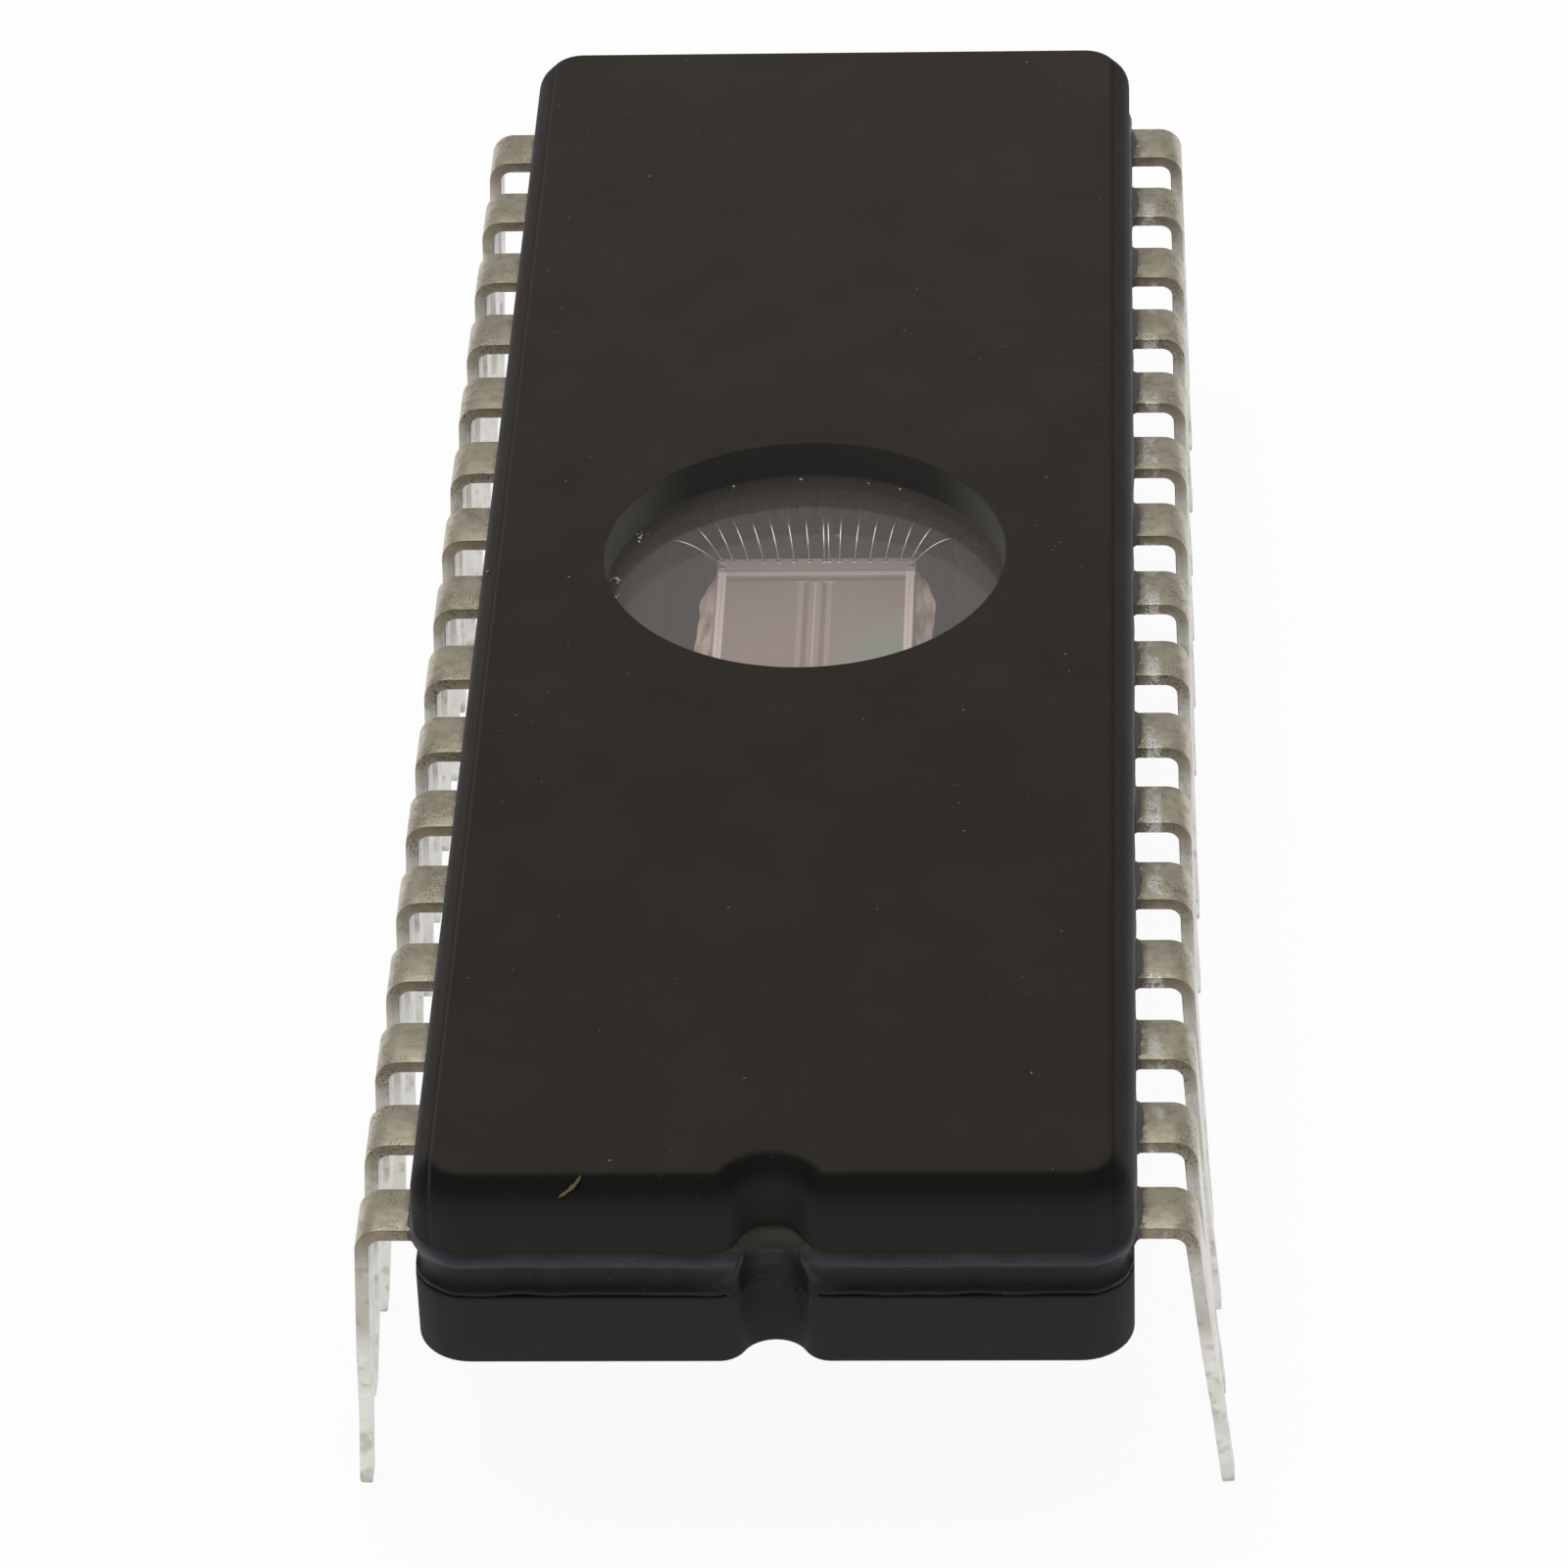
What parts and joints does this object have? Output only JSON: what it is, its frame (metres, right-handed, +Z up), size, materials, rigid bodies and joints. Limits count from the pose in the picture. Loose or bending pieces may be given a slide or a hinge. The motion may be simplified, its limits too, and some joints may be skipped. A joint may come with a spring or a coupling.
{
  "type": "windowed ceramic memory chip",
  "caption": "Long dark ceramic chip package with two rows of formed leads and a round clear window over its die.",
  "frame": {"origin": "on the board side, level with the lead tips, under the centre of the ceramic body", "axes": "+Z up, away from the board, through the window; +Y along the body, away from the end notch; +X across the two lead rows"},
  "size_m": [0.0167, 0.0414, 0.0086],
  "materials": {
    "ceramic": "matte, dark brownish black",
    "window_glass": "clear quartz",
    "seal_glass": "dark bluish grey glass with a soft gloss",
    "silicon": "polished die face, opaque",
    "attach_glass": "brownish glass",
    "wire": "bright drawn wire",
    "lead_metal": "warm grey tin-coated alloy, satin"
  },
  "bodies": {
    "root": {"ceramic_cap": "ceramic", "ceramic_base": "ceramic", "quartz_window": "window_glass", "seal_glass": "seal_glass", "die": "silicon", "die_attach": "attach_glass", "far_bond_wires": "wire", "near_bond_wires": "wire", "lead_01": "lead_metal", "lead_02": "lead_metal", "lead_03": "lead_metal", "lead_04": "lead_metal", "lead_05": "lead_metal", "lead_06": "lead_metal", "lead_07": "lead_metal", "lead_08": "lead_metal", "lead_09": "lead_metal", "lead_10": "lead_metal", "lead_11": "lead_metal", "lead_12": "lead_metal", "lead_13": "lead_metal", "lead_14": "lead_metal", "lead_15": "lead_metal", "lead_16": "lead_metal", "lead_17": "lead_metal", "lead_18": "lead_metal", "lead_19": "lead_metal", "lead_20": "lead_metal", "lead_21": "lead_metal", "lead_22": "lead_metal", "lead_23": "lead_metal", "lead_24": "lead_metal", "lead_25": "lead_metal", "lead_26": "lead_metal", "lead_27": "lead_metal", "lead_28": "lead_metal", "lead_29": "lead_metal", "lead_30": "lead_metal", "lead_31": "lead_metal", "lead_32": "lead_metal"}
  },
  "joints": []
}
